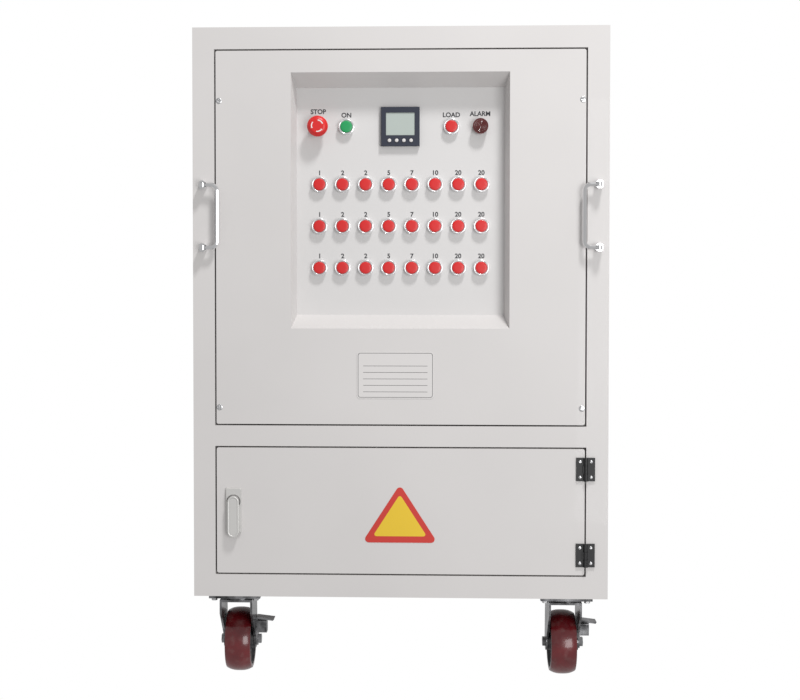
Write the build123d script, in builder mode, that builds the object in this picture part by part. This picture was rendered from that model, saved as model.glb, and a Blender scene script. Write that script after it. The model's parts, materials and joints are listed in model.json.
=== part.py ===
"""Mobile load bank for testing generators: a sheet-steel cabinet on casters.

A welded tube frame carries a screwed control panel above and a hinged terminal door below.
Row frame: origin on the floor at the middle of the overall width and depth, +X to the right seen
from the front, -Y towards the front, +Z up. Every length is in millimetres.
"""

import math
import os

from build123d import *

os.makedirs("parts", exist_ok=True)

# ---- cabinet and frame ---------------------------------------------------------------------
cabinet_width = 800.0
cabinet_depth = 800.0
cabinet_height = 1100.0
caster_height = 172.0
sheet = 2.0
base_sheet = 3.0
tube = 40.0
tube_wall = 2.5
door_bay_height = 250.0
reveal = 3.0
flange_depth = 20.0
stop_width = 15.0
stop_thickness = 3.0
fit_gap = 0.3

handle_post_height = 21.0

back_y = (cabinet_depth + handle_post_height) / 2
front_y = back_y - cabinet_depth
middle_y = (front_y + back_y) / 2
base_z = caster_height
frame_low_z = base_z + base_sheet
frame_high_z = base_z + cabinet_height - sheet
frame_half_x = cabinet_width / 2 - sheet
frame_back_y = back_y - sheet
opening_half_x = frame_half_x - tube
inner_front_y = front_y + tube
inner_back_y = frame_back_y - tube
door_low_z = frame_low_z + tube
door_high_z = door_low_z + door_bay_height
panel_low_z = door_high_z + tube
panel_high_z = frame_high_z - tube
middle_rail_z = door_high_z + tube / 2

# ---- recessed control panel ----------------------------------------------------------------
recess_width = 420.0
recess_height = 492.0
recess_depth = 40.0
recess_side_slope = 8.0
recess_top_slope = 25.0
recess_middle_z = 939.0
control_plate_thickness = 3.0
control_plate_rim = 14.0
panel_face_y = front_y + recess_depth

# ---- push buttons --------------------------------------------------------------------------
button_columns = 8
button_rows = 3
button_pitch_x = 45.0
button_pitch_z = 81.0
load_buttons_z = 891.0
control_row_z = 1084.0
button_sides = 18
bezel_radius = 14.75
bezel_height = 9.0
cap_radius = 11.7
cap_height = 5.0
cap_travel = 4.0
cap_clearance = 0.3
cap_proud = 0.4
neck_clearance = 0.4
contact_block = (26.0, 36.0, 40.0)
stop_button_x = -160.0
start_button_x = -105.0
load_button_x = 99.0
alarm_x = 155.0
mushroom_radius = 20.0
mushroom_height = 12.0
mushroom_stand = 17.0
mushroom_collar_radius = 15.0
mushroom_collar_height = 10.0
mushroom_stem_radius = 10.0
mushroom_travel = 5.0
lens_radius = 15.0
lens_height = 16.0

# ---- power meter ---------------------------------------------------------------------------
meter_width = 75.0
meter_height = 76.0
meter_bezel = 9.0
meter_case = 66.0
meter_case_depth = 60.0
screen_width = 56.0
screen_height = 44.0
screen_rise = 5.0
screen_depth = 2.0
meter_key_size = 7.0
meter_key_pitch = 14.0
meter_key_drop = 27.0
meter_key_proud = 1.0

# ---- door hinges ---------------------------------------------------------------------------
hinge_height = 45.0
hinge_leaf = 16.0
hinge_thickness = 3.0
hinge_barrel_radius = 4.0
hinge_pin_radius = 2.0
hinge_running = 0.06
knuckle_gap = 0.4
hinge_inset = 42.0
hinge_x = opening_half_x - reveal / 2
hinge_y = front_y - hinge_barrel_radius - fit_gap
hinge_zs = (door_low_z + hinge_inset, door_high_z - hinge_inset)

# ---- door latch ----------------------------------------------------------------------------
latch_inset = 36.0
latch_width = 30.0
latch_height = 86.0
latch_thickness = 5.0
latch_middle_z = (door_low_z + door_high_z) / 2
spindle_below_top = 25.0
lever_width = 22.0
lever_length = 69.0
lever_thickness = 7.0
lever_gap = 0.6
lever_pivot_radius = 1.5
spindle_radius = 5.0
spindle_clearance = 0.06
lug_width = 6.0
cam_width = 18.0
cam_reach = 50.0
cam_thickness = 3.0
cam_clearance = 3.0
latch_pocket_radius = 13.5
latch_x = -opening_half_x + latch_inset
spindle_z = latch_middle_z + latch_height / 2 - spindle_below_top
latch_face_y = front_y - latch_thickness
lever_back_y = latch_face_y - lever_gap
lever_pivot_y = lever_back_y - 2.0

# ---- folding handles -----------------------------------------------------------------------
handle_centres = 120.0
handle_middle_z = 909.0
handle_post_inset = 21.0
handle_post_radius = 8.0
handle_axis_height = 14.5
handle_rod_radius = 4.0
handle_reach = 28.0
handle_bend = 12.0
handle_eye_radius = 5.2
handle_pin_radius = 2.0
handle_running = 0.06
handle_side_gap = 0.4
handle_x = cabinet_width / 2 - handle_post_inset
handle_y = front_y - handle_axis_height

# ---- casters -------------------------------------------------------------------------------
wheel_radius = 62.5
wheel_width = 50.0
wheel_crown = 6.0
rim_radius = 50.0
rim_recess = 8.0
hub_radius = 17.0
hub_gap = 0.6
axle_radius = 6.0
axle_running = 0.05
axle_head_radius = 9.5
axle_head = 6.0
caster_plate_x = 100.0
caster_plate_y = 115.0
caster_plate_thickness = 6.0
caster_inset_x = 28.0
caster_inset_y = 5.0
race_radius = 36.0
race_height = 8.0
kingpin_radius = 8.0
kingpin_running = 0.06
kingnut_radius = 13.0
kingnut_height = 6.0
fork_steel = 4.0
fork_gap = 3.0
fork_front = 38.0
fork_back = 46.0
fork_boss_radius = 17.0
fork_shoulder_drop = 26.0
caster_trail = 36.0
brake_steel = 3.0
brake_gap = 0.5
brake_arm_width = 26.0
brake_arm_length = 46.0
brake_pedal_reach = 34.0
brake_pad_height = 26.0
caster_x = cabinet_width / 2 - caster_inset_x - caster_plate_x / 2
caster_front_y = front_y + caster_inset_y + caster_plate_y / 2
caster_back_y = back_y - caster_inset_y - caster_plate_y / 2
front_axle_y = caster_front_y + caster_trail
rear_axle_y = caster_back_y - caster_trail
caster_plate_z = base_z - caster_plate_thickness
crown_high_z = caster_plate_z - race_height - fit_gap
crown_low_z = crown_high_z - fork_steel
fork_inner_x = wheel_width / 2 + fork_gap
fork_outer_x = fork_inner_x + fork_steel

# ---- air slots and inside ------------------------------------------------------------------
slot_count = 10
slot_pitch = 26.0
slot_length = 240.0
slot_width = 8.0
slot_spacing = 300.0
side_slot_z = 650.0
rear_slot_rows = 16
fan_z = 850.0
fan_radius = 215.0
fan_tip_gap = 6.0
fan_blades = 6
fan_pitch = 52.0
fan_chord = 46.0
fan_depth = 30.0
fan_hub_radius = 60.0
fan_shaft_radius = 8.0
fan_plate_height = 520.0
fan_plate_y = inner_back_y - 20.0
fan_collar = 34.0
motor_radius = 48.0
motor_length = 34.0
motor_strap = 40.0
rack_plate_x = 325.0
rack_depth = 420.0
rack_height = 640.0
element_width = 18.0
element_columns = 3
element_rows = 8
element_pitch_y = 120.0
element_pitch_z = 75.0
rack_beam = 30.0
terminal_board_y = -150.0
terminal_board_width = 640.0
terminal_board_height = 230.0
terminal_board_thickness = 10.0
terminal_count = 4
terminal_pitch = 140.0
terminal_bar = (50.0, 6.0, 150.0)
terminal_hole_radius = 6.5
terminal_hole_rise = 25.0
insulator_radius = 15.0
insulator_length = 34.0
cable_slot_width = 420.0
cable_slot_depth = 80.0
cable_slot_y = -265.0


def save(piece, name):
    """Labels a finished piece and writes its STEP file."""
    piece.label = name
    export_step(piece, f"parts/{name}.step")


def square_tube(start, end):
    """A hollow square tube between the centres of its two ends, along X, Y or Z."""
    run = Plane(origin=start, z_dir=Vector(*end) - Vector(*start), x_dir=(0, 0, 1) if start[2] == end[2] else (1, 0, 0))
    with BuildPart() as member:
        with BuildSketch(run):
            Rectangle(tube, tube)
            Rectangle(tube - 2 * tube_wall, tube - 2 * tube_wall, mode=Mode.SUBTRACT)
        extrude(amount=(Vector(*end) - Vector(*start)).length)
    return member.part


def slab(low, high):
    """A plain block between two opposite corners."""
    middle = [(a + b) / 2 for a, b in zip(low, high)]
    with BuildPart() as block:
        with Locations(tuple(middle)):
            Box(*(b - a for a, b in zip(low, high)))
    return block.part


def make_frame():
    """Welded square-tube frame with the stop strips that the panel and the door close on."""
    post_x = frame_half_x - tube / 2
    post_front = front_y + tube / 2
    post_back = frame_back_y - tube / 2
    members = []
    for x in (-post_x, post_x):
        for y in (post_front, post_back):
            members.append(square_tube((x, y, frame_low_z), (x, y, frame_high_z)))
    for z in (frame_low_z + tube / 2, middle_rail_z, frame_high_z - tube / 2):
        for y in (post_front, post_back):
            members.append(square_tube((-opening_half_x, y, z), (opening_half_x, y, z)))
        for x in (-post_x, post_x):
            members.append(square_tube((x, inner_front_y, z), (x, inner_back_y, z)))
    stop_y = front_y + flange_depth + fit_gap
    for low_z, high_z in ((door_low_z, door_high_z), (panel_low_z, panel_high_z)):
        for side in (-1, 1):
            edge = side * opening_half_x
            inner = edge - side * stop_width
            members.append(slab((min(edge, inner), stop_y, low_z), (max(edge, inner), stop_y + stop_thickness, high_z)))
        bar_half = opening_half_x - stop_width
        members.append(slab((-bar_half, stop_y, high_z - stop_width), (bar_half, stop_y + stop_thickness, high_z)))
    return Compound(children=members)


def flanged_panel(half_x, low_z, high_z):
    """A sheet front with its four edges folded back, open behind."""
    middle = (low_z + high_z) / 2
    with BuildPart() as panel:
        with BuildSketch(Plane.XZ.offset(-front_y)):
            with Locations((0, middle)):
                RectangleRounded(2 * half_x, high_z - low_z, 2 * sheet)
        extrude(amount=-flange_depth)
        with BuildSketch(Plane.XZ.offset(-front_y - sheet)):
            with Locations((0, middle)):
                RectangleRounded(2 * (half_x - sheet), high_z - low_z - 2 * sheet, sheet)
        extrude(amount=-(flange_depth - sheet), mode=Mode.SUBTRACT)
    return panel.part


def recess_rect(y, inset_x, inset_z, grow):
    """One section of the recess funnel, at depth y."""
    with BuildSketch(Plane.XZ.offset(-y)) as section:
        with Locations((0, recess_middle_z)):
            Rectangle(recess_width - 2 * inset_x + 2 * grow, recess_height - 2 * inset_z + 2 * grow)
    return section.sketch


def make_front_panel():
    """Screwed upper panel with the funnel-shaped recess folded into it."""
    with BuildPart() as panel:
        add(flanged_panel(opening_half_x - reveal, panel_low_z + reveal, panel_high_z - reveal))
        add(recess_rect(front_y, 0, 0, sheet))
        add(recess_rect(panel_face_y, recess_side_slope, recess_top_slope, sheet))
        loft()
        add(recess_rect(front_y, 0, 0, 0))
        add(recess_rect(panel_face_y, recess_side_slope, recess_top_slope, 0))
        loft(mode=Mode.SUBTRACT)
    return panel.part


def button_grid():
    """Centres of the load buttons as (row, column, x, z), from the top left."""
    for row in range(button_rows):
        for column in range(button_columns):
            x = (column - (button_columns - 1) / 2) * button_pitch_x
            z = load_buttons_z + ((button_rows - 1) / 2 - row) * button_pitch_z
            yield row, column, x, z


def bezel_centres():
    """Centres of every round push button that has a chromed bezel."""
    centres = [(x, z) for _, _, x, z in button_grid()]
    return centres + [(start_button_x, control_row_z), (load_button_x, control_row_z)]


def make_control_plate():
    """Plate at the bottom of the recess, cut out for the meter's case."""
    width = recess_width - 2 * recess_side_slope + 2 * control_plate_rim
    height = recess_height - 2 * recess_top_slope + 2 * control_plate_rim
    with BuildPart() as plate:
        with BuildSketch(Plane.XZ.offset(-panel_face_y)):
            with Locations((0, recess_middle_z)):
                Rectangle(width, height)
            with Locations((0, control_row_z)):
                Rectangle(meter_case, meter_case, mode=Mode.SUBTRACT)
        extrude(amount=-control_plate_thickness)
    return plate.part


def make_bezels():
    """Bezel rings in front of the control plate, the mushroom's collar and the contact blocks behind."""
    with BuildPart() as rings:
        with BuildSketch(Plane.XZ.offset(-panel_face_y)):
            with Locations(*bezel_centres()):
                RegularPolygon(bezel_radius, button_sides)
                RegularPolygon(cap_radius + cap_clearance, button_sides, mode=Mode.SUBTRACT)
        extrude(amount=bezel_height)
        with BuildSketch(Plane.XZ.offset(-panel_face_y)):
            with Locations((stop_button_x, control_row_z)):
                Circle(mushroom_collar_radius)
                Circle(mushroom_stem_radius + neck_clearance, mode=Mode.SUBTRACT)
        extrude(amount=mushroom_collar_height)
    behind = panel_face_y + control_plate_thickness
    half_x, deep, half_z = contact_block[0] / 2, contact_block[1], contact_block[2] / 2
    blocks = [
        slab((x - half_x, behind, z - half_z), (x + half_x, behind + deep, z + half_z))
        for x, z in bezel_centres() + [(stop_button_x, control_row_z), (alarm_x, control_row_z)]
    ]
    return Compound(children=[*rings.part.solids(), *blocks])


def make_cap(x, z):
    """Flat button cap that slides inside its bezel."""
    cap_face = panel_face_y - bezel_height - cap_proud
    with BuildPart() as cap:
        with BuildSketch(Plane.XZ.offset(-cap_face)):
            with Locations((x, z)):
                RegularPolygon(cap_radius, button_sides)
        extrude(amount=-cap_height)
    return cap.part


def make_emergency_stop():
    """Mushroom head with a sloping rim, on its stem."""
    stem_back = panel_face_y - mushroom_travel - fit_gap
    with BuildPart() as head:
        with BuildSketch(Plane.XZ.offset(-(panel_face_y - mushroom_stand))):
            with Locations((stop_button_x, control_row_z)):
                Circle(mushroom_radius)
        extrude(amount=mushroom_height)
        chamfer(head.faces().sort_by(Axis.Y)[0].edges(), mushroom_height * 0.4, mushroom_height * 0.5)
        with BuildSketch(Plane.XZ.offset(-stem_back)):
            with Locations((stop_button_x, control_row_z)):
                Circle(mushroom_stem_radius)
        extrude(amount=mushroom_stand - mushroom_travel)
    return head.part


def make_alarm_lamp():
    """Alarm lens that stands on the control plate."""
    with BuildPart() as lens:
        with BuildSketch(Plane.XZ.offset(-panel_face_y)):
            with Locations((alarm_x, control_row_z)):
                Circle(lens_radius)
        extrude(amount=lens_height)
    return lens.part


def make_meter():
    """Square power meter: bezel with a sunk screen and four keys, and its case through the plate."""
    face = Plane.XZ.offset(-panel_face_y + meter_bezel)
    with BuildPart() as meter:
        with BuildSketch(Plane.XZ.offset(-panel_face_y)):
            with Locations((0, control_row_z)):
                Rectangle(meter_width, meter_height)
        extrude(amount=meter_bezel)
        chamfer(meter.faces().sort_by(Axis.Y)[0].outer_wire().edges(), 1)
        with BuildSketch(face):
            with Locations((0, control_row_z + screen_rise)):
                Rectangle(screen_width, screen_height)
        extrude(amount=-screen_depth, mode=Mode.SUBTRACT)
        with BuildSketch(face):
            with Locations((0, control_row_z - meter_key_drop)):
                with GridLocations(meter_key_pitch, 1, 4, 1):
                    Rectangle(meter_key_size, meter_key_size)
        extrude(amount=meter_key_proud)
        with BuildSketch(Plane.XZ.offset(-panel_face_y)):
            with Locations((0, control_row_z)):
                Rectangle(meter_case - 2 * fit_gap, meter_case - 2 * fit_gap)
        extrude(amount=-meter_case_depth)
    return meter.part


def make_terminal_door():
    """Hinged lower door with the hole that the latch spindle turns in."""
    with BuildPart() as door:
        add(flanged_panel(opening_half_x - reveal, door_low_z + reveal, door_high_z - reveal))
        with BuildSketch(Plane.XZ.offset(-front_y)):
            with Locations((latch_x, spindle_z)):
                Circle(spindle_radius + spindle_clearance)
        extrude(amount=-sheet, mode=Mode.SUBTRACT)
    return door.part


def hinge_side(side, knuckles):
    """One leaf with its knuckles; side is -1 on the door and 1 on the frame, for both hinges."""
    leaves = []
    third = hinge_height / 3
    bore = hinge_pin_radius + (hinge_running if side < 0 else 0)
    for middle_z in hinge_zs:
        with BuildPart() as leaf:
            near = hinge_x + side * (hinge_barrel_radius - 1)
            far = hinge_x + side * (hinge_leaf + 2)
            with BuildSketch(Plane.XZ.offset(-front_y)):
                with Locations(((near + far) / 2, middle_z)):
                    Rectangle(abs(far - near), hinge_height)
            extrude(amount=hinge_thickness)
            # Clears the other leaf's knuckles, then adds this leaf's own.
            with Locations((hinge_x, hinge_y, middle_z)):
                Cylinder(hinge_barrel_radius + knuckle_gap, hinge_height, mode=Mode.SUBTRACT)
            for knuckle in knuckles:
                low = middle_z - hinge_height / 2 + knuckle * third + knuckle_gap / 2
                with BuildSketch(Plane.XY.offset(low)):
                    with Locations((hinge_x, hinge_y)):
                        Circle(hinge_barrel_radius)
                    with BuildLine():
                        Polyline(
                            (hinge_x, hinge_y - hinge_barrel_radius * 0.2),
                            (hinge_x + side * (hinge_barrel_radius + 2), hinge_y - hinge_barrel_radius * 0.2),
                            (hinge_x + side * (hinge_barrel_radius + 2), front_y),
                            (hinge_x + side * 1.8, front_y),
                            close=True,
                        )
                    make_face()
                    with Locations((hinge_x, hinge_y)):
                        Circle(bore, mode=Mode.SUBTRACT)
                extrude(amount=third - knuckle_gap)
        leaves.extend(leaf.part.solids())
    return leaves


def make_frame_hinges():
    """Frame-side leaves and the pins that are pressed into them."""
    pins = []
    for middle_z in hinge_zs:
        with BuildPart() as pin:
            with Locations((hinge_x, hinge_y, middle_z)):
                Cylinder(hinge_pin_radius, hinge_height)
        pins.append(pin.part)
    return Compound(children=[*hinge_side(1, (0, 2)), *pins])


def make_latch_housing():
    """Rectangular latch body with the round pocket that the lever's heel turns in."""
    with BuildPart() as housing:
        with BuildSketch(Plane.XZ.offset(-front_y)):
            with Locations((latch_x, latch_middle_z)):
                RectangleRounded(latch_width, latch_height, 2)
        extrude(amount=latch_thickness)
        chamfer(housing.faces().sort_by(Axis.Y)[0].outer_wire().edges(), 0.8)
        with BuildSketch(Plane.XZ.offset(-latch_face_y)):
            with Locations((latch_x, spindle_z)):
                Circle(latch_pocket_radius)
        extrude(amount=-latch_thickness, mode=Mode.SUBTRACT)
    return housing.part


def make_latch_spindle():
    """Latch spindle with the lug that carries the lever, and the cam behind the door."""
    cam_y = inner_front_y + cam_clearance
    lug_front = lever_pivot_y - 2.6
    with BuildPart() as spindle:
        with BuildSketch(Plane.XZ.offset(-(front_y - 1))):
            with Locations((latch_x, spindle_z)):
                Circle(spindle_radius)
        extrude(amount=-(cam_y + cam_thickness - front_y + 1))
        with BuildSketch(Plane.YZ.offset(latch_x - lug_width / 2)):
            with BuildLine():
                Polyline(
                    (front_y - 1, spindle_z - 2.6),
                    (front_y - 1, spindle_z + 2.6),
                    (lug_front, spindle_z + 2.6),
                    (lug_front, spindle_z - 2.6),
                    close=True,
                )
            make_face()
            with Locations((lever_pivot_y, spindle_z)):
                Circle(lever_pivot_radius + spindle_clearance, mode=Mode.SUBTRACT)
        extrude(amount=lug_width)
        with BuildSketch(Plane.XZ.offset(-cam_y)):
            with Locations((latch_x, spindle_z + cam_reach / 2 - cam_width / 4)):
                RectangleRounded(cam_width, cam_reach + cam_width / 2, 4)
        extrude(amount=-cam_thickness)
    return spindle.part


def make_latch_lever():
    """Paddle lever that lifts about its cross pin and then turns the spindle; the pin is its own solid."""
    with BuildPart() as lever:
        with BuildSketch(Plane.XZ.offset(-lever_back_y)):
            with Locations((latch_x, spindle_z - (lever_length - lever_width / 2) / 2)):
                SlotCenterToCenter(lever_length - lever_width / 2, lever_width, rotation=90)
        extrude(amount=lever_thickness)
        with BuildSketch(Plane.XZ.offset(-lever_back_y)):
            with Locations((latch_x, spindle_z)):
                Rectangle(lug_width + 2 * fit_gap, 11)
        extrude(amount=lever_thickness - 1.2, mode=Mode.SUBTRACT)
        with BuildSketch(Plane.YZ.offset(latch_x - lever_width / 2)):
            with Locations((lever_pivot_y, spindle_z)):
                Circle(lever_pivot_radius)
        extrude(amount=lever_width, mode=Mode.SUBTRACT)
    with BuildPart() as pin:
        with BuildSketch(Plane.YZ.offset(latch_x - lever_width / 2 + 2.5)):
            with Locations((lever_pivot_y, spindle_z)):
                Circle(lever_pivot_radius)
        extrude(amount=lever_width - 5)
    return Compound(children=[*lever.part.solids(), pin.part])


def make_handle_posts():
    """Slotted round posts of both folding handles, each with its cross pin."""
    solids = []
    slot = 2 * (handle_rod_radius + handle_side_gap)
    for x in (-handle_x, handle_x):
        for z in (handle_middle_z - handle_centres / 2, handle_middle_z + handle_centres / 2):
            with BuildPart() as post:
                with BuildSketch(Plane.XZ.offset(-front_y)):
                    with Locations((x, z)):
                        Circle(handle_post_radius)
                extrude(amount=handle_post_height)
                with BuildSketch(Plane.XZ.offset(-(handle_y + handle_eye_radius + 1))):
                    with Locations((x, z)):
                        Rectangle(2 * handle_post_radius, slot)
                extrude(amount=handle_post_height, mode=Mode.SUBTRACT)
                with Locations((x, handle_y, z)):
                    Cylinder(handle_pin_radius, slot)
            solids.extend(post.part.solids())
    return Compound(children=solids)


def make_handle():
    """Bail of the left folding handle: eight-sided rod between two eyes."""
    inner = handle_reach - handle_x
    low = handle_middle_z - handle_centres / 2
    high = handle_middle_z + handle_centres / 2
    with BuildPart() as bail:
        with BuildLine() as run:
            FilletPolyline(
                (-handle_x, handle_y, low),
                (inner, handle_y, low),
                (inner, handle_y, high),
                (-handle_x, handle_y, high),
                radius=handle_bend,
            )
        with BuildSketch(Plane(origin=(-handle_x, handle_y, low), z_dir=(1, 0, 0))):
            RegularPolygon(handle_rod_radius, 8)
        sweep(path=run.line)
        with Locations((-handle_x, handle_y, low), (-handle_x, handle_y, high)):
            Cylinder(handle_eye_radius, 2 * handle_rod_radius)
            Cylinder(handle_pin_radius + handle_running, 3 * handle_rod_radius, mode=Mode.SUBTRACT)
    return bail.part


def make_wheel(x, y):
    """Cast iron wheel with its polyurethane tread, bevelled at both edges, on an axle along X."""
    half = wheel_width / 2
    hub_half = fork_inner_x - hub_gap
    with BuildPart() as wheel:
        with BuildSketch(Plane.XY.offset(wheel_radius)):
            with BuildLine():
                Polyline(
                    (x - half, y + wheel_radius - wheel_crown),
                    (x - half, y + rim_radius),
                    (x - half + rim_recess, y + rim_radius),
                    (x - half + rim_recess, y + hub_radius),
                    (x - hub_half, y + hub_radius),
                    (x - hub_half, y + axle_radius + axle_running),
                    (x + hub_half, y + axle_radius + axle_running),
                    (x + hub_half, y + hub_radius),
                    (x + half - rim_recess, y + hub_radius),
                    (x + half - rim_recess, y + rim_radius),
                    (x + half, y + rim_radius),
                    (x + half, y + wheel_radius - wheel_crown),
                    (x + half * 0.5, y + wheel_radius),
                    (x - half * 0.5, y + wheel_radius),
                    close=True,
                )
            make_face()
        revolve(axis=Axis((x, y, wheel_radius), (1, 0, 0)))
    return wheel.part


def fork_shell(x, pivot_y, trail, crown_high, bored):
    """Pressed caster fork: crown plate and two legs that taper down to the axle."""
    axle_y = pivot_y + trail
    with BuildPart() as fork:
        for side in (-1, 1):
            with BuildSketch(Plane.YZ.offset(x + side * (fork_inner_x + fork_steel / 2) - fork_steel / 2)):
                with BuildLine():
                    Polyline(
                        (pivot_y - fork_front, crown_high),
                        (pivot_y + fork_back, crown_high),
                        (pivot_y + fork_back, crown_high - fork_shoulder_drop),
                        (axle_y + fork_boss_radius * 0.9, wheel_radius + fork_boss_radius * 0.45),
                        (axle_y - fork_boss_radius * 0.9, wheel_radius + fork_boss_radius * 0.45),
                        (pivot_y - fork_front, crown_high - fork_shoulder_drop),
                        close=True,
                    )
                make_face()
                with Locations((axle_y, wheel_radius)):
                    Circle(fork_boss_radius)
                    Circle(axle_radius, mode=Mode.SUBTRACT)
            extrude(amount=fork_steel)
        with BuildSketch(Plane.XY.offset(crown_high)):
            with Locations((x, pivot_y + (fork_back - fork_front) / 2)):
                Rectangle(2 * fork_outer_x, fork_front + fork_back)
        extrude(amount=-fork_steel)
        if bored:
            with Locations((x, pivot_y, crown_high - fork_steel / 2)):
                Cylinder(kingpin_radius + kingpin_running, 2 * fork_steel, mode=Mode.SUBTRACT)
    return fork.part


def axle_bolt(x, y, brake_side):
    """Through bolt with its head and nut; the brake side is longer by the brake arm."""
    reach = fork_outer_x + brake_gap + (brake_steel + brake_gap if brake_side else 0)
    left, right = x - fork_outer_x - axle_head, x + reach + axle_head
    with BuildPart() as bolt:
        with BuildSketch(Plane.YZ.offset(left)):
            with Locations((y, wheel_radius)):
                Circle(axle_radius)
        extrude(amount=right - left)
        for start in (left, x + reach):
            with BuildSketch(Plane.YZ.offset(start)):
                with Locations((y, wheel_radius)):
                    RegularPolygon(axle_head_radius, 6)
            extrude(amount=axle_head)
    return bolt.part


def make_swivel_fork(x):
    """Front caster fork with its axle bolt."""
    fork = fork_shell(x, caster_front_y, caster_trail, crown_high_z, True)
    bolt = axle_bolt(x, front_axle_y, True)
    return Compound(children=[fork, bolt])


def make_brake(x):
    """Side brake: an arm that turns on the axle bolt, with a foot pedal bent outwards."""
    axle_y = front_axle_y
    inner = x + fork_outer_x + brake_gap
    half = brake_arm_width / 2
    with BuildPart() as brake:
        with BuildSketch(Plane.YZ.offset(inner)):
            with Locations((axle_y, wheel_radius)):
                Circle(half)
            with Locations((axle_y, wheel_radius + brake_arm_length / 2)):
                Rectangle(brake_arm_width, brake_arm_length)
            with Locations((axle_y, wheel_radius)):
                Circle(axle_radius + axle_running, mode=Mode.SUBTRACT)
        extrude(amount=brake_steel)
        with BuildSketch(Plane.XZ.offset(-(axle_y - half))):
            with BuildLine():
                top = wheel_radius + brake_arm_length
                Polyline(
                    (inner, top),
                    (inner, top - brake_steel),
                    (inner + brake_pedal_reach, top - brake_steel - 4),
                    (inner + brake_pedal_reach + 2, top - 4),
                    (inner + brake_steel, top),
                    close=True,
                )
            make_face()
        extrude(amount=-brake_arm_width)
        with BuildSketch(Plane.YZ.offset(inner + brake_steel)):
            with Locations((axle_y, wheel_radius + brake_arm_length - brake_pad_height / 2 - 2 * brake_steel)):
                RectangleRounded(brake_arm_width - 4, brake_pad_height, 3)
        extrude(amount=18)
    return brake.part


def make_caster_brackets():
    """Front swivel plates with race, kingpin and nut, and the rigid rear casters with their bolts."""
    solids = []
    for x in (-caster_x, caster_x):
        for y in (caster_front_y, caster_back_y):
            with BuildPart() as plate:
                with BuildSketch(Plane.XY.offset(caster_plate_z)):
                    with Locations((x, y)):
                        Rectangle(caster_plate_x, caster_plate_y)
                extrude(amount=caster_plate_thickness)
                if y < 0:
                    stack = (
                        (race_radius, caster_plate_z, race_height),
                        (kingpin_radius, caster_plate_z, race_height + fork_steel + 2 * fit_gap + kingnut_height),
                        (kingnut_radius, crown_low_z - fit_gap, kingnut_height),
                    )
                    for radius, top, drop in stack:
                        with BuildSketch(Plane.XY.offset(top)):
                            with Locations((x, y)):
                                Circle(radius)
                        extrude(amount=-drop)
                else:
                    add(fork_shell(x, y, -caster_trail, caster_plate_z, False))
            solids.extend(plate.part.solids())
            if y > 0:
                solids.append(axle_bolt(x, rear_axle_y, False))
    return Compound(children=solids)


def slotted_sheet(plane, width, height, middle_height, rows):
    """A sheet with two columns of plain air slots."""
    with BuildPart() as panel:
        with BuildSketch(plane):
            with Locations((0, height / 2)):
                Rectangle(width, height)
            with Locations((0, middle_height)):
                with GridLocations(slot_spacing, slot_pitch, 2, rows):
                    Rectangle(slot_length, slot_width, mode=Mode.SUBTRACT)
        extrude(amount=sheet)
    return panel.part


def make_side_panels():
    """Left and right side sheets with the slots that the cooling air enters by."""
    height = frame_high_z - base_z
    sheets = []
    for side in (-1, 1):
        plane = Plane(origin=(side * frame_half_x, middle_y, base_z), x_dir=(0, side, 0), z_dir=(side, 0, 0))
        sheets.append(slotted_sheet(plane, cabinet_depth, height, side_slot_z - base_z, slot_count))
    return Compound(children=sheets)


def make_rear_panel():
    """Rear sheet between the side sheets, with the slots that the warm air leaves by."""
    plane = Plane(origin=(0, frame_back_y, base_z), x_dir=(-1, 0, 0), z_dir=(0, 1, 0))
    return slotted_sheet(plane, 2 * frame_half_x, frame_high_z - base_z, fan_z - base_z, rear_slot_rows)


def make_base_plate():
    """Bottom sheet with the cable slot."""
    with BuildPart() as base:
        with BuildSketch(Plane.XY.offset(base_z)):
            with Locations((0, (front_y + frame_back_y) / 2)):
                Rectangle(2 * frame_half_x, frame_back_y - front_y)
            with Locations((0, cable_slot_y)):
                RectangleRounded(cable_slot_width, cable_slot_depth, 10, mode=Mode.SUBTRACT)
        extrude(amount=base_sheet)
    return base.part


def make_resistor_bank():
    """Resistor rack: two beams, two end plates and one square element for each load button."""
    solids = []
    beam_y = rack_depth / 2 - rack_beam
    for y in (middle_y - beam_y, middle_y + beam_y):
        low = (-opening_half_x, y - rack_beam / 2, middle_rail_z - rack_beam / 2)
        high = (opening_half_x, y + rack_beam / 2, middle_rail_z + rack_beam / 2)
        solids.append(slab(low, high))
    rack_z = middle_rail_z + rack_beam / 2
    low_y, high_y = middle_y - rack_depth / 2, middle_y + rack_depth / 2
    for x in (-rack_plate_x, rack_plate_x):
        solids.append(slab((x - sheet / 2, low_y, rack_z), (x + sheet / 2, high_y, rack_z + rack_height)))
    with BuildPart() as elements:
        with BuildSketch(Plane.YZ.offset(-rack_plate_x + sheet / 2)):
            with Locations((middle_y, rack_z + rack_height / 2)):
                with GridLocations(element_pitch_y, element_pitch_z, element_columns, element_rows):
                    Rectangle(element_width, element_width)
        extrude(amount=2 * rack_plate_x - sheet)
    return Compound(children=[*solids, *elements.part.solids()])


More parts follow.
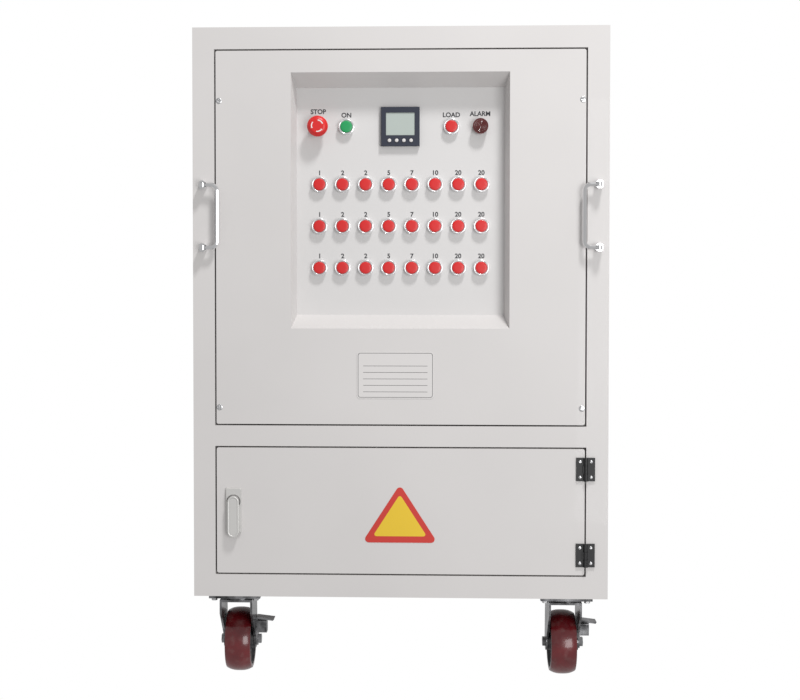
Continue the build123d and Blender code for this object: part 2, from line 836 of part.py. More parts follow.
def make_fan_mount():
    """Fan plate between the rear posts, with collar, motor strap, motor and shaft."""
    ring = fan_radius + fan_tip_gap
    with BuildPart() as mount:
        with BuildSketch(Plane.XZ.offset(-fan_plate_y)):
            with Locations((0, fan_z)):
                Rectangle(2 * frame_half_x, fan_plate_height)
                Circle(ring, mode=Mode.SUBTRACT)
        extrude(amount=-sheet)
        with BuildSketch(Plane.XZ.offset(-fan_plate_y)):
            with Locations((0, fan_z)):
                Circle(ring + sheet)
                Circle(ring, mode=Mode.SUBTRACT)
        extrude(amount=fan_collar)
        with BuildSketch(Plane.XZ.offset(-fan_plate_y)):
            with Locations((0, fan_z)):
                Rectangle(motor_strap, 2 * (ring + sheet))
        extrude(amount=-sheet)
        with BuildSketch(Plane.XZ.offset(-fan_plate_y)):
            with Locations((0, fan_z)):
                Circle(motor_radius)
        extrude(amount=motor_length)
        with BuildSketch(Plane.XZ.offset(-fan_plate_y + motor_length)):
            with Locations((0, fan_z)):
                Circle(fan_shaft_radius)
        extrude(amount=fan_depth - 4)
    return mount.part


def make_fan_rotor():
    """Axial fan rotor: hub on the motor shaft and pitched sheet blades."""
    back = fan_plate_y - motor_length - fit_gap
    with BuildPart() as rotor:
        with BuildSketch(Plane.XZ.offset(-back)):
            with Locations((0, fan_z)):
                Circle(fan_hub_radius)
        extrude(amount=fan_depth)
        for blade in range(fan_blades):
            turn = math.radians(360 * blade / fan_blades)
            along = Vector(math.cos(turn), 0, math.sin(turn))
            root = Plane(
                origin=along * (fan_hub_radius - 8) + Vector(0, back - fan_depth / 2, fan_z),
                x_dir=(0, 1, 0),
                z_dir=along,
            )
            with BuildSketch(root):
                Rectangle(fan_chord, sheet, rotation=fan_pitch)
            extrude(amount=fan_radius - fan_hub_radius + 4)
        with BuildSketch(Plane.XZ.offset(-back)):
            with Locations((0, fan_z)):
                Circle(fan_shaft_radius + hinge_running)
        extrude(amount=fan_depth - 3, mode=Mode.SUBTRACT)
    return rotor.part


def terminal_xs():
    """Centres of the load cable terminals."""
    return [(i - (terminal_count - 1) / 2) * terminal_pitch for i in range(terminal_count)]


def make_terminal_board():
    """Insulating board standing on the base sheet, with two insulators for each bar."""
    low = frame_low_z
    board = slab(
        (-terminal_board_width / 2, terminal_board_y, low),
        (terminal_board_width / 2, terminal_board_y + terminal_board_thickness, low + terminal_board_height),
    )
    with BuildPart() as insulators:
        with BuildSketch(Plane.XZ.offset(-terminal_board_y)):
            for x in terminal_xs():
                for rise in (0.4, 0.85):
                    with Locations((x, low + terminal_board_height * rise)):
                        RegularPolygon(insulator_radius, 6)
        extrude(amount=insulator_length)
    return Compound(children=[board, *insulators.part.solids()])


def make_terminal_bars():
    """Copper bars for the load cables, each with one bolt hole."""
    width, thickness, height = terminal_bar
    top = frame_low_z + terminal_board_height * 0.85 + insulator_radius
    with BuildPart() as bars:
        with BuildSketch(Plane.XZ.offset(-(terminal_board_y - insulator_length))):
            for x in terminal_xs():
                with Locations((x, top - height / 2)):
                    Rectangle(width, height)
                with Locations((x, top - height + terminal_hole_rise)):
                    Circle(terminal_hole_radius, mode=Mode.SUBTRACT)
        extrude(amount=thickness)
    return Compound(children=bars.part.solids())


save(make_frame(), "frame")
save(make_side_panels(), "side_panels")
save(make_rear_panel(), "rear_panel")
save(slab((-cabinet_width / 2, front_y, frame_high_z), (cabinet_width / 2, back_y, frame_high_z + sheet)), "top_cover")
save(make_base_plate(), "base_plate")
save(make_front_panel(), "front_panel")
save(make_control_plate(), "control_plate")
save(make_bezels(), "button_bezels")
save(make_emergency_stop(), "emergency_stop")
save(make_cap(start_button_x, control_row_z), "start_button")
save(make_cap(load_button_x, control_row_z), "load_button")
for row_number, column_number, cap_x, cap_z in button_grid():
    save(make_cap(cap_x, cap_z), f"step_button_{row_number + 1}_{column_number + 1}")
save(make_alarm_lamp(), "alarm_lamp")
save(make_meter(), "power_meter")
save(make_terminal_door(), "terminal_door")
save(Compound(children=hinge_side(-1, (1,))), "door_hinge_leaves")
save(make_frame_hinges(), "frame_hinge_leaves")
save(make_latch_housing(), "latch_housing")
save(make_latch_spindle(), "latch_spindle")
save(make_latch_lever(), "latch_lever")
save(make_handle_posts(), "handle_posts")
save(make_handle(), "left_handle")
save(make_handle().mirror(Plane.YZ), "right_handle")
save(make_caster_brackets(), "caster_brackets")
for corner_name, corner_x in (("left", -caster_x), ("right", caster_x)):
    save(make_swivel_fork(corner_x), f"front_{corner_name}_fork")
    save(make_brake(corner_x), f"front_{corner_name}_brake")
    save(make_wheel(corner_x, front_axle_y), f"front_{corner_name}_wheel")
    save(make_wheel(corner_x, rear_axle_y), f"rear_{corner_name}_wheel")
save(make_resistor_bank(), "resistor_bank")
save(make_fan_mount(), "fan_mount")
save(make_fan_rotor(), "fan_rotor")
save(make_terminal_board(), "terminal_board")
save(make_terminal_bars(), "terminal_bars")
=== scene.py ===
"""Looks of the mobile load bank: finishes, printed plates, small fittings, lights and camera.

Lengths are in metres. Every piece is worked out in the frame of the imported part, so its object sits at the
origin, unturned, and it moves with the body that it rides on.
"""

import json
import logging
import math
from dataclasses import dataclass
from enum import Enum
from typing import Callable, ClassVar, Optional, Sequence

import bpy
import numpy as np
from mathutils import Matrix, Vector

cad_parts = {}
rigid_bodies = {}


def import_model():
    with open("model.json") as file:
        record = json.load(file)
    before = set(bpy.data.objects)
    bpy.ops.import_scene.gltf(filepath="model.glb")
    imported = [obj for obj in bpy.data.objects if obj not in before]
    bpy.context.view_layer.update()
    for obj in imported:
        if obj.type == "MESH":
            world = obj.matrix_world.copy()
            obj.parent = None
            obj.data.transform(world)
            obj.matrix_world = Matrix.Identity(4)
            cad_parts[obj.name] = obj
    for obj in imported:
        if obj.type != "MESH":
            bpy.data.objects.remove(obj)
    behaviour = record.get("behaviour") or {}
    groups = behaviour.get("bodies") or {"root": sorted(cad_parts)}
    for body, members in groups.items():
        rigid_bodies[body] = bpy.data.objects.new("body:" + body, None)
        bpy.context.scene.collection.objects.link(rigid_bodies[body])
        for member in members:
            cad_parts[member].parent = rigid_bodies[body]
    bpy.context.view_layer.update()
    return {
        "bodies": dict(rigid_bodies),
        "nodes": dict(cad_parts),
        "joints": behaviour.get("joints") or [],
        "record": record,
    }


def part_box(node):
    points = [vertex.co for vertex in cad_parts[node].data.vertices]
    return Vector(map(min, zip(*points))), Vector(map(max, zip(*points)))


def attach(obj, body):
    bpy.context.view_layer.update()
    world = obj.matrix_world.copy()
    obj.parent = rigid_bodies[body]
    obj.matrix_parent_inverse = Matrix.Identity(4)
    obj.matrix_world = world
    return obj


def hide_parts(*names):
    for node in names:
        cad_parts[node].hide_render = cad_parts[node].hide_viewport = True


log = logging.getLogger("load_bank")

Vec = tuple[float, float, float]
Size = tuple[float, float]
Relief = Callable[[np.ndarray, np.ndarray], np.ndarray]

FORWARD: Vec = (0.0, -1.0, 0.0)
DOWN: Vec = (0.0, 0.0, -1.0)
ALONG: Vec = (1.0, 0.0, 0.0)


# ---- shader arithmetic ----
class Value:
    """A number in a shader tree that plain arithmetic can be written on."""

    def __init__(self, tree: bpy.types.NodeTree, socket: bpy.types.NodeSocket) -> None:
        """Wraps one output of a tree."""
        self.tree = tree
        self.socket = socket

    def _math(self, kind: str, first: object, second: object) -> "Value":
        """Adds a Math node of a kind on two numbers or Values."""
        node = add_node(self.tree, "ShaderNodeMath", {0: first, 1: second}, operation=kind)
        return Value(self.tree, node.outputs[0])

    def __add__(self, other: object) -> "Value":
        """The sum."""
        return self._math("ADD", self, other)

    def __radd__(self, other: object) -> "Value":
        """The sum, with the number first."""
        return self._math("ADD", other, self)

    def __sub__(self, other: object) -> "Value":
        """The difference."""
        return self._math("SUBTRACT", self, other)

    def __rsub__(self, other: object) -> "Value":
        """The difference, with the number first."""
        return self._math("SUBTRACT", other, self)

    def __mul__(self, other: object) -> "Value":
        """The product."""
        return self._math("MULTIPLY", self, other)

    def __rmul__(self, other: object) -> "Value":
        """The product, with the number first."""
        return self._math("MULTIPLY", other, self)

    def clamped(self) -> "Value":
        """The value kept between 0 and 1."""
        return self._math("MAXIMUM", self._math("MINIMUM", self, 1.0), 0.0)


def feed(tree: bpy.types.NodeTree, target: bpy.types.NodeSocket, item: object) -> None:
    """Links or sets one input.

    Args:
        tree: the node tree that holds both.
        target: the input to fill.
        item: a Value, a socket, a number or a colour.
    """
    if isinstance(item, Value):
        tree.links.new(item.socket, target)
    elif isinstance(item, bpy.types.NodeSocket):
        tree.links.new(item, target)
    else:
        target.default_value = item


def add_node(
    tree: bpy.types.NodeTree, kind: str, inputs: Optional[dict] = None, **settings: object
) -> bpy.types.Node:
    """Adds a node of any kind, its settings first and then its inputs.

    Args:
        tree: the node tree to add to.
        kind: the node's type.
        inputs: what goes into each input, by the input's name or number.
        **settings: the node's own settings, such as a Math node's operation.

    Returns:
        The new node.
    """
    node = tree.nodes.new(kind)
    for key, item in settings.items():
        setattr(node, key, item)
    for key, item in (inputs or {}).items():
        feed(tree, node.inputs[key], item)
    return node


def noise(tree: bpy.types.NodeTree, place: bpy.types.NodeSocket, scale: float, detail: float) -> Value:
    """A soft noise between 0 and 1.

    Args:
        tree: the node tree to add to.
        place: the coordinates that it reads.
        scale: patches per metre.
        detail: how many finer layers it has.

    Returns:
        The noise as a Value.
    """
    node = add_node(tree, "ShaderNodeTexNoise", {"Vector": place, "Scale": scale, "Detail": detail})
    return Value(tree, node.outputs["Fac"])


def blend(tree: bpy.types.NodeTree, share: Value, first: object, second: object) -> bpy.types.NodeSocket:
    """Mixes two colours.

    Args:
        tree: the node tree to add to.
        share: how much of the second colour shows.
        first: a colour or a socket.
        second: a colour or a socket.

    Returns:
        The socket of the mixed colour.
    """
    node = add_node(tree, "ShaderNodeMix", {0: share, 6: first, 7: second}, data_type="RGBA")
    return node.outputs[2]


# ---- finishes ----
class Texture(Enum):
    """Relief that a finish carries: its grains per metre, and its strength."""

    ORANGE_PEEL = (900.0, 0.05)
    MOULDED = (1600.0, 0.04)
    BRUSHED = (700.0, 0.03)
    CAST = (260.0, 0.35)

    @property
    def fineness(self) -> float:
        """Grains per metre."""
        return self.value[0]

    @property
    def strength(self) -> float:
        """Strength of the relief."""
        return self.value[1]


@dataclass(frozen=True)
class Finish:
    """A surface finish: colour with soft patches, dust, and a fine relief. On the caster zinc, the patches
    and its dark base colour are painted reflections.
    """

    name: str
    color: Vec
    roughness: float
    metallic: float = 0.0
    coat: float = 0.0
    variation: float = 0.04
    texture: Texture = Texture.ORANGE_PEEL
    dust: float = 0.0
    patch: float = 3.5

    DARKENING: ClassVar[float] = 2.2
    LIGHTENING: ClassVar[float] = 1.2
    PATCH_LOW: ClassVar[float] = 0.35
    PATCH_CONTRAST: ClassVar[float] = 2.6
    PATCH_DETAIL: ClassVar[float] = 4.0
    ROUGHNESS_SPREAD: ClassVar[float] = 0.12
    GRAIN_DETAIL: ClassVar[float] = 2.0
    GRAIN_HEIGHT: ClassVar[float] = 0.0004
    DUST_COLOR: ClassVar[tuple[float, ...]] = (0.45, 0.42, 0.38, 1.0)
    DUST_SCALE: ClassVar[float] = 60.0
    DUST_DETAIL: ClassVar[float] = 6.0
    DUST_CONTRAST: ClassVar[float] = 3.0

    def shade(self, factor: float) -> tuple[float, ...]:
        """The opaque colour made lighter or darker by a factor."""
        return (*(min(1.0, channel * factor) for channel in self.color), 1.0)

    def build(self) -> bpy.types.Material:
        """Makes the material.

        Returns:
            The finished Blender material.
        """
        material = bpy.data.materials.new(self.name)
        material.use_nodes = True
        tree = material.node_tree
        place = add_node(tree, "ShaderNodeTexCoord").outputs["Object"]
        cloud = noise(tree, place, self.patch, self.PATCH_DETAIL)
        grain = noise(tree, place, self.texture.fineness, self.GRAIN_DETAIL)
        dark = self.shade(1 - self.DARKENING * self.variation)
        light = self.shade(1 + self.LIGHTENING * self.variation)
        # The patches darken and lighten the colour at random. On the caster zinc they are painted dark
        # reflections and bright streaks.
        patches = ((cloud - self.PATCH_LOW) * self.PATCH_CONTRAST).clamped()
        color = blend(tree, patches, dark, light)
        if self.dust:
            specks = noise(tree, place, self.DUST_SCALE, self.DUST_DETAIL)
            share = ((specks - 0.5) * self.DUST_CONTRAST * self.dust).clamped()
            color = blend(tree, share, color, self.DUST_COLOR)
        relief = {"Height": grain, "Strength": self.texture.strength, "Distance": self.GRAIN_HEIGHT}
        surface = {
            "Base Color": color,
            "Roughness": (self.roughness + (cloud - 0.5) * self.ROUGHNESS_SPREAD).clamped(),
            "Metallic": self.metallic,
            "Coat Weight": self.coat,
            "Normal": add_node(tree, "ShaderNodeBump", relief).outputs["Normal"],
        }
        for key, item in surface.items():
            feed(tree, tree.nodes["Principled BSDF"].inputs[key], item)
        return material


def metal(name: str, color: Vec, roughness: float, **rest: float) -> Finish:
    """A brushed metal finish, with the rest of its fields by name."""
    return Finish(name, color, roughness, texture=Texture.BRUSHED, **rest)


def plastic(name: str, color: Vec, roughness: float, **rest: float) -> Finish:
    """A moulded finish, with the rest of its fields by name."""
    return Finish(name, color, roughness, texture=Texture.MOULDED, **rest)


def cast(name: str, color: Vec, roughness: float, **rest: float) -> Finish:
    """A cast finish, with the rest of its fields by name."""
    return Finish(name, color, roughness, texture=Texture.CAST, **rest)


class Palette:
    """Every finish, by the record's slot or by a fitting's own name."""

    FINISHES = (
        Finish("cabinet_paint", (0.60, 0.58, 0.572), 0.46, coat=0.1, variation=0.014),
        Finish("plate_paint", (0.61, 0.597, 0.592), 0.48, coat=0.08, variation=0.014),
        metal("bezel_chrome", (0.82, 0.82, 0.83), 0.22, metallic=0.85, variation=0.02),
        plastic("red_cap", (0.60, 0.012, 0.012), 0.4, coat=0.1),
        plastic("green_cap", (0.008, 0.30, 0.09), 0.4, coat=0.1),
        plastic("stop_red", (0.64, 0.012, 0.012), 0.38, coat=0.15),
        plastic("lamp_lens", (0.085, 0.006, 0.006), 0.2, coat=0.5),
        plastic("meter_plastic", (0.018, 0.022, 0.04), 0.35, coat=0.2),
        Finish("hinge_black", (0.006, 0.006, 0.007), 0.45, variation=0.1),
        metal("latch_steel", (0.60, 0.59, 0.575), 0.36, metallic=0.35, variation=0.03),
        metal("handle_chrome", (0.78, 0.78, 0.79), 0.14, metallic=1.0, variation=0.02),
        # Painted reflection: the dark base colour and the strong, fine dark-and-bright patches stand in for
        # the dark surroundings reflected in the chrome forks.
        metal("caster_zinc", (0.32, 0.32, 0.33), 0.22, metallic=0.95, variation=0.38, patch=38.0),
        cast("wheel_tread", (0.13, 0.006, 0.009), 0.26, coat=0.5, variation=0.15, dust=0.12, patch=24.0),
        metal("element_steel", (0.45, 0.44, 0.43), 0.45, metallic=0.9, variation=0.08),
        metal("fan_steel", (0.5, 0.51, 0.52), 0.4, metallic=0.8, variation=0.05),
        cast("board_resin", (0.4, 0.25, 0.1), 0.55, variation=0.08),
        metal("copper", (0.72, 0.32, 0.18), 0.3, metallic=1.0, variation=0.08),
        plastic("ink", (0.03, 0.03, 0.035), 0.6),
        plastic("white_mark", (0.78, 0.78, 0.78), 0.5),
        plastic("screen_glass", (0.42, 0.47, 0.44), 0.12, coat=0.9, variation=0.05),
        plastic("sign_yellow", (0.75, 0.5, 0.02), 0.4, coat=0.2),
        plastic("sign_red", (0.55, 0.03, 0.02), 0.4, coat=0.2),
        metal("plate_foil", (0.62, 0.60, 0.592), 0.42, variation=0.014),
        metal("screw_steel", (0.62, 0.62, 0.63), 0.28, metallic=1.0, variation=0.05),
        cast("iron_core", (0.05, 0.05, 0.055), 0.6, metallic=0.3, variation=0.15, dust=0.4),
    )

    def __init__(self) -> None:
        """Makes the material of every finish."""
        self.materials = {finish.name: finish.build() for finish in self.FINISHES}

    def __getitem__(self, name: str) -> bpy.types.Material:
        """The material of a finish."""
        return self.materials[name]

    def dress(self, frame: dict) -> None:
        """Gives every CAD node the finish of its slot.
        """
        for part in frame["record"]["subparts"]:
            node = frame["nodes"][part["node"]]
            node.data.materials.clear()
            node.data.materials.append(self[part["material_slot"]])
            log.info("%s has the finish %s", part["node"], part["material_slot"])


# ---- surfaces ----
@dataclass(frozen=True)
class Axis:
    """A place with a direction out of the surface, and two directions across it."""

    origin: Vec
    out: Vec = FORWARD

    STEEP: ClassVar[float] = 0.9

    def frame(self) -> tuple[np.ndarray, np.ndarray, np.ndarray]:
        """Finds the directions: across is a guide crossed with out, and up is out crossed with across.

        Returns:
            The unit directions across, up and out.
        """
        out = np.array(self.out, float) / np.linalg.norm(self.out)
        guide = np.array((0.0, 0.0, 1.0)) if abs(out[2]) < self.STEEP else np.array((0.0, 1.0, 0.0))
        across = np.cross(guide, out)
        across /= np.linalg.norm(across)
        return across, np.cross(out, across), out

    def points(self, u: np.ndarray, v: np.ndarray, h: np.ndarray) -> np.ndarray:
        """Places points at the origin plus u across, v up and h out.

        Args:
            u: distances across.
            v: distances up.
            h: distances out.

        Returns:
            The points, as rows of x, y, z.
        """
        shifts = (np.ravel(length)[:, None] * way for length, way in zip((u, v, h), self.frame()))
        return np.array(self.origin) + sum(shifts)

    def polar(self, r: np.ndarray, a: np.ndarray, h: np.ndarray) -> np.ndarray:
        """The points at distance r and angle a from the axis, and h out along it."""
        return self.points(r * np.cos(a), r * np.sin(a), h)


def polar_grid(radii: np.ndarray, around: int) -> tuple[np.ndarray, np.ndarray]:
    """Radius and angle at each point of a grid with one row per radius and even angles round the circle."""
    return np.meshgrid(radii, np.linspace(0, 2 * math.pi, around, endpoint=False), indexing="ij")


def ring_faces(rings: int, around: int) -> np.ndarray:
    """Numbers the quads between neighbouring closed rings of points.

    Args:
        rings: how many rings there are.
        around: how many points each ring has.

    Returns:
        One row of four point numbers per quad.
    """
    first = np.arange((rings - 1) * around)
    beside = first - first % around + (first + 1) % around
    return np.stack([first, first + around, beside + around, beside], axis=1)


def dome(r: np.ndarray, radius: float, height: float, power: float = 2.0) -> np.ndarray:
    """Height times the root of one less (r over radius) to a power, and nothing past the radius."""
    return height * np.sqrt(np.clip(1 - (r / radius) ** power, 0, 1))


def hang(
    name: str, mesh: bpy.types.Mesh, material: bpy.types.Material, body: str, slot: str
) -> bpy.types.Object:
    """Makes an object of a mesh and hangs it on a body.

    Args:
        name: the object's name.
        mesh: its mesh, in place.
        material: its finish.
        body: the CAD body that it moves with.
        slot: the record's slot that it belongs to; not used.

    Returns:
        The new object.
    """
    mesh.materials.clear()
    mesh.materials.append(material)
    mesh.update()
    made = bpy.data.objects.new(name, mesh)
    bpy.context.collection.objects.link(made)
    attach(made, body)
    log.info("%s has %d faces and rides on %s", name, len(mesh.polygons), body)
    return made


class Surface:
    """Points and faces that add up before one mesh is made of them."""

    def __init__(self) -> None:
        """Starts with no points."""
        self.points: list[np.ndarray] = []
        self.faces: list[list[int]] = []
        self.count = 0

    def add(self, points: np.ndarray, *patches: np.ndarray) -> None:
        """Adds points with their faces.

        Args:
            points: rows of x, y, z.
            *patches: arrays of faces with equally many corners, counted from the first of these points.
        """
        for faces in patches:
            self.faces += (faces + self.count).tolist()
        self.points.append(points)
        self.count += len(points)

    def annulus(self, axis: Axis, radii: np.ndarray, relief: Relief, around: int) -> None:
        """Adds a sheet with a hole, which stands relief(r, a) out at radius r and angle a.

        Args:
            axis: the middle of the hole.
            radii: the rings' radii, growing.
            relief: the height at a radius and an angle.
            around: points per ring.
        """
        r, a = polar_grid(radii, around)
        self.add(axis.polar(r, a, relief(r, a)), ring_faces(len(radii), around))

    def disc(self, axis: Axis, radii: np.ndarray, relief: Relief, around: int) -> None:
        """Adds a sheet that stands relief(r, a) out, closed at its middle by a fan of triangles.

        Args:
            axis: the middle of the disc.
            radii: the rings' radii, growing.
            relief: the height at a radius and an angle.
            around: points per ring.
        """
        r, a = polar_grid(radii, around)
        middle = np.zeros(1)
        rings = axis.polar(r, a, relief(r, a))
        pole = axis.polar(middle, middle, relief(middle, middle))
        step = np.arange(around)
        fan = np.stack([np.full(around, len(rings)), step, (step + 1) % around], axis=1)
        self.add(np.vstack([rings, pole]), ring_faces(len(radii), around), fan)

    def ring(self, axis: Axis, profile: np.ndarray, around: int) -> None:
        """Adds a profile carried round the axis.

        Args:
            axis: the axis of turning.
            profile: rows of radius and height.
            around: points per ring.
        """
        r, a = polar_grid(profile[:, 0], around)
        self.add(axis.polar(r, a, np.repeat(profile[:, 1], around)), ring_faces(len(profile), around))

    def loft(self, axis: Axis, loops: Sequence[tuple[np.ndarray, float]]) -> None:
        """Adds the sheet between outlines, each lifted out by a height of its own.

        Args:
            axis: the middle of the outlines.
            loops: the outlines, of equally many (across, up) rows, and their heights.
        """
        rows = [axis.points(*outline.T, np.full(len(outline), lift)) for outline, lift in loops]
        self.add(np.vstack(rows), ring_faces(len(loops), len(rows[0])))

    def plate(self, axis: Axis, outline: np.ndarray, thickness: float) -> None:
        """Adds a thin plate: its face and its edge, without the back that it is stuck on with.

        Args:
            axis: the middle of the plate's back.
            outline: its anticlockwise outline of (across, up) rows.
            thickness: how far its face stands out.
        """
        n = len(outline)
        points = axis.points(*np.tile(outline.T, 2), np.repeat((0.0, thickness), n))
        step = np.arange(n)
        beside = (step + 1) % n
        edge = np.stack([step, beside, n + beside, n + step], axis=1)
        self.add(points, n + step[None], edge)

    def piece(
        self, name: str, material: bpy.types.Material, body: str, slot: str, smooth: bool = True
    ) -> bpy.types.Object:
        """Makes the mesh and hangs it on a body.

        Args:
            name: the object's name.
            material: its finish.
            body: the CAD body that it moves with.
            slot: the record's slot that it belongs to.
            smooth: whether its faces are shaded smooth.

        Returns:
            The new object.
        """
        mesh = bpy.data.meshes.new(name)
        mesh.from_pydata(np.vstack(self.points).tolist(), [], self.faces)
        mesh.polygons.foreach_set("use_smooth", [smooth] * len(mesh.polygons))
        return hang(name, mesh, material, body, slot)


def corner_arcs(
    centres: np.ndarray, starts: np.ndarray, spans: np.ndarray, radius: float, steps: int
) -> np.ndarray:
    """Joins arcs, one round each centre, into one outline.

    Args:
        centres: (across, up) rows.
        starts: the arcs' first angles, in radians.
        spans: the angles that they sweep, in radians.
        radius: the radius of each arc.
        steps: steps per arc.

    Returns:
        The outline as (across, up) rows.
    """
    turn = starts[:, None] + spans[:, None] * np.linspace(0, 1, steps + 1)
    arcs = radius * np.stack([np.cos(turn), np.sin(turn)], axis=-1)
    return (centres[:, None] + arcs).reshape(-1, 2)


def rounded_outline(width: float, height: float, radius: float, steps: int = 8) -> np.ndarray:
    """A rounded rectangle: a quarter circle round each corner's centre, anticlockwise from the top right.

    Args:
        width: its whole width.
        height: its whole height.
        radius: its corners' radius.
        steps: steps per corner.

    Returns:
        The outline as (across, up) rows.
    """
    signs = np.array(((1, 1), (-1, 1), (-1, -1), (1, -1)))
    centres = signs * (np.array((width, height)) / 2 - radius)
    quarter = math.pi / 2
    return corner_arcs(centres, quarter * np.arange(4), np.full(4, quarter), radius, steps)


def unit(rows: np.ndarray) -> np.ndarray:
    """Each row over its own length."""
    return rows / np.linalg.norm(rows, axis=1)[:, None]


def rounded_triangle(half: float, height: float, radius: float, steps: int = 8) -> np.ndarray:
    """A triangle that points up, with an arc in each corner, about the middle of its height.

    Each arc's centre lies inward on the corner's bisector, by the radius over the sine of half its angle.

    Args:
        half: half its width before rounding.
        height: its height before rounding.
        radius: its corners' radius.
        steps: steps per corner.

    Returns:
        The anticlockwise outline as (across, up) rows.
    """
    corners = np.array([(half, -height / 2), (0.0, height / 2), (-half, -height / 2)])
    before = unit(np.roll(corners, 1, axis=0) - corners)
    after = unit(np.roll(corners, -1, axis=0) - corners)
    inward = unit(before + after)
    sine = np.sqrt((1 - (before * after).sum(axis=1)) / 2)
    centres = corners + inward * (radius / sine)[:, None]
    outward = np.arctan2(-inward[:, 1], -inward[:, 0])
    spans = math.pi - 2 * np.arcsin(sine)
    return corner_arcs(centres, outward - spans / 2, spans, radius, steps)


def middle_of(node: str) -> tuple[Vector, Vector, Vector]:
    """Low corner, high corner and middle of a CAD node's box."""
    low, high = (Vector(c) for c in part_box(node))
    return low, high, (low + high) / 2


def front_of(node: str) -> tuple[Axis, float]:
    """The middle of a CAD node's front, and half the node's width."""
    low, high, middle = middle_of(node)
    return Axis((middle.x, low.y, middle.z)), (high.x - low.x) / 2


@dataclass(frozen=True)
class Lettering:
    """Printed words of one height, a hair's breadth thick."""

    height: float
    thickness: float = 0.00008
    boldness: float = 0.00035

    def write(
        self, text: str, axis: Axis, name: str, material: bpy.types.Material, body: str, slot: str
    ) -> None:
        """Prints a caption as a mesh, centred on the axis.

        Args:
            text: what it says.
            axis: its middle, and the way it faces.
            name: the object's name.
            material: its finish.
            body: the CAD body that it moves with.
            slot: the record's slot that it belongs to.
        """
        curve = bpy.data.curves.new(name, "FONT")
        curve.body, curve.size = text, self.height
        curve.extrude, curve.offset = self.thickness, self.boldness
        curve.align_x, curve.align_y = "CENTER", "CENTER"
        holder = bpy.data.objects.new(name + "_text", curve)
        bpy.context.collection.objects.link(holder)
        bpy.context.view_layer.update()
        mesh = bpy.data.meshes.new_from_object(holder)
        bpy.data.objects.remove(holder)
        mesh.name = name
        flat = np.empty(len(mesh.vertices) * 3)
        mesh.vertices.foreach_get("co", flat)
        mesh.vertices.foreach_set("co", axis.points(*flat.reshape(-1, 3).T).ravel())
        hang(name, mesh, material, body, slot)


